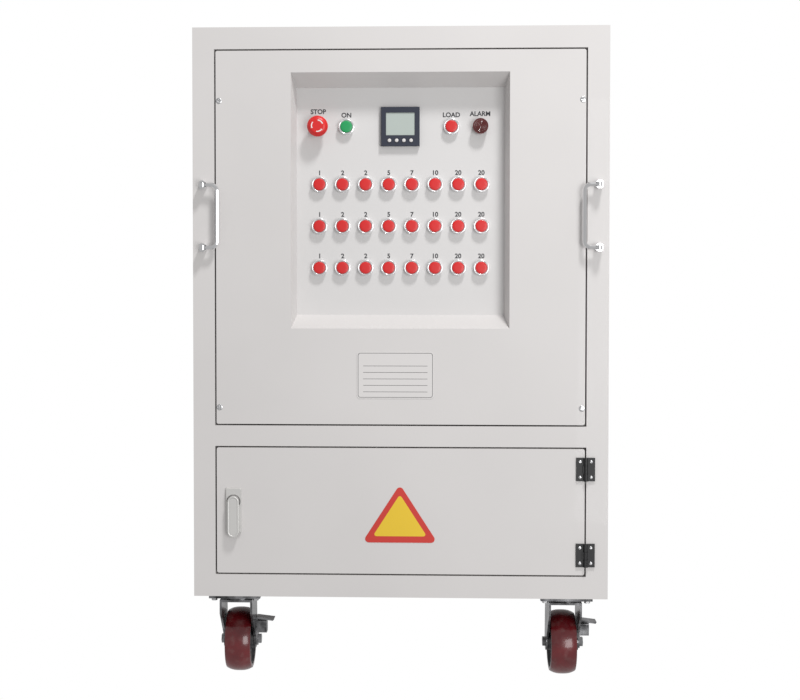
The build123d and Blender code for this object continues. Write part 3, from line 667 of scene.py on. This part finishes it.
# ---- fittings ----
@dataclass(frozen=True)
class ControlPanel:
    """Captions, button lenses, bezel lips, the stop button's face, the lamp's dome and the meter's face."""

    palette: Palette
    rows: int = 3
    step_captions: tuple[str, ...] = ("1", "2", "2", "5", "7", "10", "20", "20")
    lettering: Lettering = Lettering(0.0125)
    caption_rise: float = 0.0225
    caption_gap: float = 0.0095
    caption_lift: float = 0.0001
    lens_share: float = 0.985
    lens_height: float = 0.0014
    lens_lift: float = 0.0002
    lip_inner: float = 0.0006
    lip_outer: float = 0.0036
    lip_roll: float = 0.0011
    lip_sink: float = 0.0008
    lip_start: float = -0.2
    mushroom_lift: float = 0.0012
    mushroom_fall: float = 0.0065
    mushroom_flat: float = 0.55
    mushroom_power: float = 2.2
    mark_lift: float = 0.00015
    mark_count: int = 3
    mark_start: float = 20.0
    mark_sweep: float = 74.0
    mark_steps: int = 18
    arc_steps: int = 14
    head_steps: int = 3
    arc_band: Size = (0.50, 0.60)
    head_band: Size = (0.42, 0.68)
    head_tip: float = 0.05
    lamp_height: float = 0.0024
    lamp_edge: float = 0.82
    lamp_rib: float = 0.0003
    lamp_rib_rate: float = 3600.0
    screen_size: Size = (0.0555, 0.0435)
    screen_corner: float = 0.001
    screen_rise: float = 0.005
    screen_sink: float = 0.003
    screen_thickness: float = 0.0006
    key_count: int = 4
    key_pitch: float = 0.014
    key_drop: float = 0.027
    key_radius: float = 0.0034
    key_dome_radius: float = 0.0035
    key_height: float = 0.0009
    key_lift: float = 0.0002
    around: int = 64

    def step_buttons(self) -> dict[str, str]:
        """Every step button's node with its caption."""
        columns = list(enumerate(self.step_captions, 1))
        return {f"step_button_{row}_{n}": text for row in range(1, self.rows + 1) for n, text in columns}

    def build(self) -> None:
        """Makes every piece of the panel."""
        for node, text in self.step_buttons().items():
            self.lens(node, "red_cap")
            self.caption(node, text)
        self.lens("start_button", "green_cap")
        self.lens("load_button", "red_cap")
        self.caption("start_button", "ON")
        self.caption("load_button", "LOAD")
        self.caption("emergency_stop", "STOP")
        self.caption("alarm_lamp", "ALARM")
        self.lips()
        self.mushroom()
        self.lamp()
        self.meter()

    def lens(self, node: str, finish: str) -> None:
        """Makes a shallow lens on a button: a flat-topped dome of the fourth power.

        Args:
            node: the button's CAD node, which is also its body.
            finish: its finish and its slot.
        """
        axis, half = front_of(node)
        radius = half * self.lens_share
        radii = np.concatenate([np.linspace(0.1, 0.86, 10), np.linspace(0.9, 1.0, 6)]) * radius

        def relief(r: np.ndarray, a: np.ndarray) -> np.ndarray:
            """The lens's height at a radius."""
            return dome(r, radius, self.lens_height, 4) + self.lens_lift

        surface = Surface()
        surface.disc(axis, radii, relief, self.around)
        surface.piece(f"{node}_lens", self.palette[finish], node, finish)

    def plate_front(self) -> float:
        """Where the control plate's face is, on the y axis."""
        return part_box("control_plate")[0][1]

    def caption(self, node: str, text: str) -> None:
        """Prints a generic caption over a device.

        Args:
            node: the device's CAD node.
            text: what the caption says.
        """
        _, high, middle = middle_of(node)
        rise = max(self.caption_rise, high.z - middle.z + self.caption_gap)
        place = Axis((middle.x, self.plate_front() - self.caption_lift, middle.z + rise))
        self.lettering.write(text, place, f"{node}_caption", self.palette["ink"], "cabinet", "plate_paint")

    def lips(self) -> None:
        """Makes the round lips on the bezels: a straight skirt with a half ellipse rolled over its top."""
        surface = Surface()
        roll = np.linspace(self.lip_start, math.pi, 12)
        for node in (*self.step_buttons(), "start_button", "load_button"):
            axis, cap = front_of(node)
            inner, outer = cap + self.lip_inner, cap + self.lip_outer
            top = self.plate_front() - axis.origin[1] - self.lip_sink
            mean, half = (inner + outer) / 2, (outer - inner) / 2
            skirt = np.array([(outer, 0.0), (outer, top)])
            over = np.stack([mean + half * np.cos(roll), top + self.lip_roll * np.sin(roll)], axis=1)
            base = Axis((axis.origin[0], self.plate_front(), axis.origin[2]))
            surface.ring(base, np.vstack([skirt, over]), self.around)
        surface.piece("bezel_lips", self.palette["bezel_chrome"], "cabinet", "bezel_chrome")

    def mushroom(self) -> None:
        """Makes the stop button's face and its turning marks.

        The face is flat to a share of its radius, and falls from there with a power of the way to its rim.
        """
        axis, radius = front_of("emergency_stop")

        def relief(r: np.ndarray, a: np.ndarray) -> np.ndarray:
            """The face's height at a radius."""
            way = np.clip((r / radius - self.mushroom_flat) / (1 - self.mushroom_flat), 0, 1)
            return self.mushroom_lift - self.mushroom_fall * way**self.mushroom_power

        face = Surface()
        face.disc(axis, np.linspace(0.05, 1.0, 28) * radius, relief, 72)
        face.piece("emergency_stop_face", self.palette["stop_red"], "emergency_stop", "stop_red")
        marks = Surface()
        arc, head = (tuple(share * radius for share in band) for band in (self.arc_band, self.head_band))
        head_at = self.arc_steps - 1
        for turn in np.arange(self.mark_count) * 360 / self.mark_count + self.mark_start:
            sweep = np.radians(turn + np.linspace(0, self.mark_sweep, self.mark_steps))
            self.mark(marks, axis, relief, arc, sweep[: self.arc_steps], 1.0)
            self.mark(marks, axis, relief, head, sweep[head_at : head_at + self.head_steps], self.head_tip)
        marks.piece("emergency_stop_marks", self.palette["white_mark"], "emergency_stop", "stop_red")

    def mark(
        self, surface: Surface, axis: Axis, relief: Relief, band: Size, sweep: np.ndarray, tip: float
    ) -> None:
        """Adds a band along an arc, whose width falls evenly to a share at its end.

        Args:
            surface: where it is added.
            axis: the middle of the arc.
            relief: the height of the face that it lies on.
            band: its inner and outer radius at its start.
            sweep: the angles along it.
            tip: the share of its width at its end.
        """
        n = len(sweep)
        mean, half = sum(band) / 2, (band[1] - band[0]) / 2 * np.linspace(1, tip, n)
        r, a = np.concatenate([mean - half, mean + half]), np.tile(sweep, 2)
        step = np.arange(n - 1)
        faces = np.stack([step, n + step, n + step + 1, step + 1], axis=1)
        surface.add(axis.polar(r, a, relief(r, a) + self.mark_lift), faces)

    def lamp(self) -> None:
        """Makes the lamp's dome, with fine ribs as a cosine of the radius."""
        axis, radius = front_of("alarm_lamp")

        def relief(r: np.ndarray, a: np.ndarray) -> np.ndarray:
            """The dome's height with its ribs."""
            ribs = self.lamp_rib * np.cos(r * self.lamp_rib_rate)
            return dome(r, radius * self.lamp_edge, self.lamp_height) + ribs

        surface = Surface()
        surface.disc(axis, np.linspace(0.03, 0.8, 44) * radius, relief, self.around)
        surface.piece("alarm_lamp_dome", self.palette["lamp_lens"], "cabinet", "lamp_lens")

    def meter(self) -> None:
        """Makes the meter's blank screen and its round key tops."""
        low, _, middle = middle_of("power_meter")
        screen = Surface()
        place = Axis((middle.x, low.y + self.screen_sink, middle.z + self.screen_rise))
        screen.plate(place, rounded_outline(*self.screen_size, self.screen_corner), self.screen_thickness)
        screen.piece("meter_screen", self.palette["screen_glass"], "cabinet", "meter_plastic", smooth=False)
        keys = Surface()
        for key in range(self.key_count):
            x = middle.x + (key - (self.key_count - 1) / 2) * self.key_pitch
            place = Axis((x, low.y - self.key_lift, middle.z - self.key_drop))
            radii = np.linspace(0.1, 1, 8) * self.key_radius
            keys.disc(place, radii, lambda r, a: dome(r, self.key_dome_radius, self.key_height), 32)
        keys.piece("meter_keys", self.palette["plate_foil"], "cabinet", "meter_plastic")


@dataclass(frozen=True)
class Signs:
    """The blank plates on the front: the ruled rating plate and the two-tone triangle."""

    palette: Palette
    plate_x: float = -0.009
    plate_z: float = 0.603
    plate_size: Size = (0.148, 0.090)
    plate_corner: float = 0.006
    plate_thickness: float = 0.0006
    ink_lift: float = 0.00005
    border_inset: float = 0.002
    border_width: float = 0.0008
    border_corners: Size = (0.005, 0.0045)
    rule_count: int = 5
    rule_top: float = 0.018
    rule_pitch: float = 0.0125
    rule_inset: float = 0.012
    rule_width: float = 0.0007
    rule_corner: float = 0.0003
    rule_height: float = 0.0001
    triangle_z: float = 0.3355
    triangle_half: float = 0.073
    triangle_height: float = 0.113
    triangle_corner: float = 0.007
    triangle_thickness: float = 0.0005
    field_share: float = 0.72
    field_drop: float = 0.0035
    field_corner: float = 0.004
    field_height: float = 0.0001

    def build(self) -> None:
        """Makes both plates."""
        self.rating_plate()
        self.triangle()

    def border_outline(self, inset: float, corner: float) -> np.ndarray:
        """An outline that runs an inset within the rating plate's edge."""
        width, height = self.plate_size
        return rounded_outline(width - 2 * inset, height - 2 * inset, corner)

    def rating_plate(self) -> None:
        """Makes the rating plate, its printed border and its blank rules."""
        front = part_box("front_panel")[0][1]
        plate = Surface()
        place = Axis((self.plate_x, front, self.plate_z))
        plate.plate(place, rounded_outline(*self.plate_size, self.plate_corner), self.plate_thickness)
        plate.piece("rating_plate", self.palette["plate_foil"], "cabinet", "cabinet_paint", smooth=False)
        rules = Surface()
        face = front - self.plate_thickness
        outer = self.border_outline(self.border_inset, self.border_corners[0])
        inner = self.border_outline(self.border_inset + self.border_width, self.border_corners[1])
        rules.loft(Axis((self.plate_x, face - self.ink_lift, self.plate_z)), ((inner, 0.0), (outer, 0.0)))
        length = self.plate_size[0] - 2 * self.rule_inset
        outline = rounded_outline(length, self.rule_width, self.rule_corner, 2)
        for line in range(self.rule_count):
            z = self.plate_z + self.rule_top - line * self.rule_pitch
            rules.plate(Axis((self.plate_x, face, z)), outline, self.rule_height)
        rules.piece("rating_plate_rules", self.palette["ink"], "cabinet", "cabinet_paint", smooth=False)

    def triangle(self) -> None:
        """Makes the triangle's border and the blank field on it."""
        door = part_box("terminal_door")[0][1]
        border, field = Surface(), Surface()
        outline = rounded_triangle(self.triangle_half, self.triangle_height, self.triangle_corner)
        border.plate(Axis((0, door, self.triangle_z)), outline, self.triangle_thickness)
        half, height = self.triangle_half * self.field_share, self.triangle_height * self.field_share
        place = Axis((0, door - self.triangle_thickness, self.triangle_z - self.field_drop))
        field.plate(place, rounded_triangle(half, height, self.field_corner), self.field_height)
        red, yellow = self.palette["sign_red"], self.palette["sign_yellow"]
        border.piece("blank_triangle_border", red, "door", "cabinet_paint", smooth=False)
        field.piece("blank_triangle_field", yellow, "door", "cabinet_paint", smooth=False)


@dataclass(frozen=True)
class Screw:
    """A cross-recessed screw head."""

    radius: float
    height: float
    cross_width: float
    cross_depth: float
    cross_share: float = 0.6
    fullness: float = 0.98
    around: int = 48

    def add(self, surface: Surface, axis: Axis) -> None:
        """Adds one head to a surface.

        Its height is that of an ellipse, less the cross's depth where the smaller of the distances across and
        up is within half the cross's width and the larger is within its arm.

        Args:
            surface: where the head is added.
            axis: the middle of its seat.
        """

        def relief(r: np.ndarray, a: np.ndarray) -> np.ndarray:
            """The head's height with its recess pressed in."""
            x, y = np.abs(r * np.cos(a)), np.abs(r * np.sin(a))
            head = self.height * np.sqrt(1 - self.fullness * (r / self.radius) ** 2)
            slot = np.minimum(x, y) < self.cross_width / 2
            arm = np.maximum(x, y) < self.radius * self.cross_share
            return head - self.cross_depth * (slot & arm)

        surface.disc(axis, np.linspace(0.08, 1.0, 16) * self.radius, relief, self.around)


@dataclass(frozen=True)
class Screws:
    """The screw heads of the panel and the hinges."""

    palette: Palette
    panel_screw: Screw = Screw(0.0058, 0.0011, 0.0014, 0.0006)
    panel_x: float = 0.349
    panel_zs: Size = (1.131, 0.540)
    hinge_screw: Screw = Screw(0.0034, 0.0018, 0.0009, 0.0005)
    hinge_dx: float = 0.0105
    hinge_dz: float = 0.015
    leaf_half_height: float = 0.0225
    leaf_thickness: float = 0.003

    def build(self) -> None:
        """Makes the heads, one piece for each part that carries them."""
        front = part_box("front_panel")[0][1]
        panel, frame_leaf, door_leaf = Surface(), Surface(), Surface()
        for x in (-self.panel_x, self.panel_x):
            for z in self.panel_zs:
                self.panel_screw.add(panel, Axis((x, front, z)))
        low, high, _ = middle_of("frame_hinge_leaves")
        pin_x = (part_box("door_hinge_leaves")[1][0] + low.x) / 2
        leaf_y = front - self.leaf_thickness
        for middle_z in (high.z - self.leaf_half_height, low.z + self.leaf_half_height):
            for z in (middle_z - self.hinge_dz, middle_z + self.hinge_dz):
                self.hinge_screw.add(frame_leaf, Axis((pin_x + self.hinge_dx, leaf_y, z)))
                self.hinge_screw.add(door_leaf, Axis((pin_x - self.hinge_dx, leaf_y, z)))
        panel.piece("panel_screws", self.palette["screw_steel"], "cabinet", "bezel_chrome")
        frame_leaf.piece("frame_leaf_screws", self.palette["screw_steel"], "cabinet", "hinge_black")
        door_leaf.piece("door_leaf_screws", self.palette["screw_steel"], "door", "hinge_black")


@dataclass(frozen=True)
class HexBolt:
    """A hexagon bolt head with its washer."""

    across: float
    height: float
    washer_radius: float
    washer_thickness: float = 0.0012
    around: int = 24

    def add(self, surface: Surface, axis: Axis) -> None:
        """Adds one washer and head to a surface.

        The hexagon's radius is half its width across over the cosine of the angle from its nearest flat.

        Args:
            surface: where they are added.
            axis: the middle of the washer's seat.
        """
        a = np.linspace(0, 2 * math.pi, self.around, endpoint=False)
        circle = np.stack([np.cos(a), np.sin(a)], axis=1)
        flat = self.across / 2 / np.cos(np.mod(a, math.pi / 3) - math.pi / 6)
        surface.plate(axis, self.washer_radius * circle, self.washer_thickness)
        surface.plate(axis, flat[:, None] * circle, self.height)


@dataclass(frozen=True)
class Bolts:
    """Bolts that hold the casters to the base and the bars to their insulators."""

    palette: Palette
    caster_bolt: HexBolt = HexBolt(0.010, 0.0052, 0.0072)
    caster_plate: Size = (0.100, 0.115)
    caster_plate_thickness: float = 0.006
    caster_bolt_offset: Size = (0.0405, 0.0470)
    bar_bolt: HexBolt = HexBolt(0.013, 0.007, 0.0105)
    bar_count: int = 4
    bar_half_width: float = 0.025
    bar_bolt_drop: float = 0.015

    def build(self) -> None:
        """Makes one piece for the casters and one for the bars."""
        self.casters()
        self.bars()

    def casters(self) -> None:
        """Makes four bolts in the corners of each caster's plate."""
        low, high, _ = middle_of("caster_brackets")
        under = high.z - self.caster_plate_thickness
        half_x, half_y = (size / 2 for size in self.caster_plate)
        dx, dy = self.caster_bolt_offset
        bolts = Surface()
        for plate_x in (low.x + half_x, high.x - half_x):
            for plate_y in (low.y + half_y, high.y - half_y):
                for x in (plate_x - dx, plate_x + dx):
                    for y in (plate_y - dy, plate_y + dy):
                        self.caster_bolt.add(bolts, Axis((x, y, under), DOWN))
        bolts.piece("caster_bolts", self.palette["screw_steel"], "cabinet", "caster_zinc", smooth=False)

    def bars(self) -> None:
        """Makes one bolt near the top of each bar."""
        low, high, _ = middle_of("terminal_bars")
        first, last = low.x + self.bar_half_width, high.x - self.bar_half_width
        bolts = Surface()
        for x in np.linspace(first, last, self.bar_count):
            self.bar_bolt.add(bolts, Axis((x, low.y, high.z - self.bar_bolt_drop)))
        bolts.piece("bar_bolts", self.palette["screw_steel"], "cabinet", "copper", smooth=False)


@dataclass(frozen=True)
class LatchTrim:
    """Raised rim and inner face of the paddle lever."""

    palette: Palette
    rim_width: float = 0.0034
    rim_height: float = 0.0009
    rim_edge: float = 0.0004
    rim_foot: float = 0.0001
    face_inset: float = 0.0051
    face_height: float = 0.0003
    corner_ease: float = 0.00001
    corner_steps: int = 20

    def outline(self, inset: float) -> np.ndarray:
        """The lever's outline, round at both ends, drawn in by an inset."""
        low, high, _ = middle_of("latch_lever")
        width, height = high.x - low.x - 2 * inset, high.z - low.z - 2 * inset
        return rounded_outline(width, height, width / 2 - self.corner_ease, self.corner_steps)

    def build(self) -> None:
        """Makes the rim, which rises and falls from the edge inwards, and the flat inner face."""
        axis, _ = front_of("latch_lever")
        width, height = self.rim_width, self.rim_height
        insets_and_lifts = (
            (0.0, 0.0),
            (self.rim_edge, 0.8 * height),
            (0.5 * width, height),
            (0.85 * width, 0.7 * height),
            (width, self.rim_foot),
        )
        rim, face, steel = Surface(), Surface(), self.palette["latch_steel"]
        rim.loft(axis, [(self.outline(inset), lift) for inset, lift in insets_and_lifts])
        rim.piece("latch_lever_rim", steel, "latch_lever", "latch_steel")
        face.plate(axis, self.outline(self.face_inset), self.face_height)
        face.piece("latch_lever_face", steel, "latch_lever", "latch_steel", smooth=False)


@dataclass(frozen=True)
class Wheels:
    """Crowned treads and ribbed cast iron cores, which together stand for each CAD wheel."""

    palette: Palette
    names: tuple[str, ...] = ("front_left_wheel", "front_right_wheel", "rear_left_wheel", "rear_right_wheel")
    crown: float = 0.006
    crown_power: float = 2.6
    crown_steps: int = 33
    rim: float = 0.0500
    rim_land: float = 0.0015
    hub: float = 0.017
    hub_stand: float = 0.0024
    hub_around: int = 48
    hub_overlap: float = 0.0005
    rim_overlap: float = 0.0002
    bore: float = 0.00605
    dish: float = 0.0085
    dish_slope: float = 0.004
    ribs: int = 6
    rib_sharpness: float = 9.0
    rib_share: float = 0.7
    face_rings: int = 26
    around: int = 120

    def build(self) -> None:
        """Makes a tread and a core for every wheel."""
        for name in self.names:
            low, high, middle = middle_of(name)
            hub_half = (high.x - low.x) / 2
            half = hub_half - self.hub_stand
            self.tread(name, Axis(tuple(middle), ALONG), (high.y - low.y) / 2, half)
            self.core(name, middle, half, hub_half)

    def tread(self, name: str, axle: Axis, radius: float, half: float) -> None:
        """Makes the tread, which falls from its middle by the crown times a power of the way to its edge.

        Args:
            name: the wheel's CAD node, which is also its body.
            axle: the wheel's middle and axis.
            radius: the radius in the middle.
            half: half the tread's width.
        """
        across = np.linspace(-1, 1, self.crown_steps)
        crown = np.stack([radius - self.crown * np.abs(across) ** self.crown_power, across * half], axis=1)
        tread = Surface()
        tread.ring(axle, np.vstack([(self.rim, -half), crown, (self.rim, half)]), self.around)
        made = tread.piece(f"{name}_tread", self.palette["wheel_tread"], name, "wheel_tread")
        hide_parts(name)

    def core(self, name: str, middle: Vector, half: float, hub_half: float) -> None:
        """Makes the core: two dished faces and the hub's wall and ends.

        Args:
            name: the wheel's CAD node, which is also its body.
            middle: the wheel's middle.
            half: half the tread's width.
            hub_half: half the hub's length.
        """
        core = Surface()
        radii = np.linspace(self.hub - self.hub_overlap, self.rim + self.rim_overlap, self.face_rings)
        for side in (-1, 1):
            face = Axis((middle.x + side * half, middle.y, middle.z), (side, 0, 0))
            core.annulus(face, radii, self.relief, self.around)
        hub = ((self.bore, -hub_half), (self.hub, -hub_half), (self.hub, hub_half), (self.bore, hub_half))
        core.ring(Axis(tuple(middle), ALONG), np.array(hub), self.hub_around)
        core.piece(f"{name}_core", self.palette["iron_core"], name, "wheel_tread")

    def relief(self, r: np.ndarray, a: np.ndarray) -> np.ndarray:
        """Depth of a core's face: the dish, which slopes off below the rim, less a share on each rib.

        A rib is a bell curve of the angle from its middle, so many times round.

        Args:
            r: distances from the axle.
            a: angles round it.

        Returns:
            The heights, which are negative in the dish.
        """
        rib = np.exp(-(((np.mod(a * self.ribs / (2 * math.pi), 1) - 0.5) * self.rib_sharpness) ** 2))
        slope = np.clip((self.rim - self.rim_land - r) / self.dish_slope, 0, 1)
        return -self.dish * slope * (1 - self.rib_share * rib)


# ---- stage ----
@dataclass(frozen=True)
class Lamp:
    """An area light, placed from the point that it faces."""

    name: str
    place: Vec
    power: float
    size: float

    def build(self, target: Vector) -> None:
        """Adds the light.

        Args:
            target: the point that it faces.
        """
        data = bpy.data.lights.new(self.name, "AREA")
        data.energy, data.size = self.power, self.size
        holder = bpy.data.objects.new(self.name, data)
        holder.location = target + Vector(self.place)
        holder.rotation_mode = "QUATERNION"
        holder.rotation_quaternion = (-Vector(self.place)).to_track_quat("-Z", "Y")
        bpy.context.collection.objects.link(holder)


@dataclass(frozen=True)
class Studio:
    """White surroundings, a high key light at the right, a low wide fill light and the camera."""

    lamps: tuple[Lamp, ...] = (
        Lamp("key", (0.75, -1.25, 2.6), 66.0, 0.42),
        Lamp("fill", (1.7, -3.4, -0.3), 62.0, 2.0),
    )
    lit_height: float = 0.9
    ambient: float = 0.50
    distance: float = 2.6
    yaw: float = 2.0
    pitch: float = 1.6
    eye_height: float = 0.82
    aim_height: float = 0.652
    width_at_front: float = 1.538
    aside: float = 0.0558
    sensor: float = 36.0

    def build(self) -> None:
        """Sets up world, lights and camera."""
        self.world()
        for lamp in self.lamps:
            lamp.build(self.at_front(self.lit_height))
        self.camera()

    def at_front(self, height: float) -> Vector:
        """The middle of the cabinet's front at a height."""
        return Vector((0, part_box("front_panel")[0][1], height))

    def world(self) -> None:
        """Puts plain white behind the object and softer white light around it."""
        world = bpy.data.worlds.new("studio")
        world.use_nodes = True
        tree = world.node_tree
        tree.nodes.clear()
        white = (1.0, 1.0, 1.0, 1.0)
        seen = add_node(tree, "ShaderNodeLightPath").outputs["Is Camera Ray"]
        around = add_node(tree, "ShaderNodeBackground", {"Color": white, "Strength": self.ambient}).outputs[0]
        behind = add_node(tree, "ShaderNodeBackground", {"Color": white, "Strength": 1.0}).outputs[0]
        mixed = add_node(tree, "ShaderNodeMixShader", {0: seen, 1: around, 2: behind}).outputs[0]
        add_node(tree, "ShaderNodeOutputWorld", {"Surface": mixed})
        bpy.context.scene.world = world

    def camera(self) -> None:
        """Sets a nearly level camera slightly to the right, with its picture shifted down to the cabinet."""
        yaw, pitch = math.radians(self.yaw), math.radians(self.pitch)
        ahead = Vector((-math.sin(yaw), math.cos(yaw), 0))
        right = Vector((math.cos(yaw), math.sin(yaw), 0))
        data = bpy.data.cameras.new("camera")
        data.sensor_width = self.sensor
        data.lens = self.sensor * self.distance / self.width_at_front
        data.shift_x = self.aside / self.width_at_front
        drop = self.distance * math.tan(pitch)
        data.shift_y = (self.aim_height - self.eye_height + drop) / self.width_at_front
        holder = bpy.data.objects.new("camera", data)
        holder.location = self.at_front(self.eye_height) - ahead * self.distance - right * self.aside
        holder.rotation_euler = (math.pi / 2 - pitch, 0, yaw)
        bpy.context.collection.objects.link(holder)
        bpy.context.scene.camera = holder
        bpy.context.scene.view_settings.view_transform = "Standard"


def main() -> None:
    """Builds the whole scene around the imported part."""
    logging.basicConfig(level=logging.INFO)
    for thing in list(bpy.data.objects):
        bpy.data.objects.remove(thing)
    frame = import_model()
    palette = Palette()
    palette.dress(frame)
    for fitting in (ControlPanel, Signs, Screws, Bolts, LatchTrim, Wheels):
        fitting(palette).build()
    Studio().build()


if __name__ == "__main__":
    main()
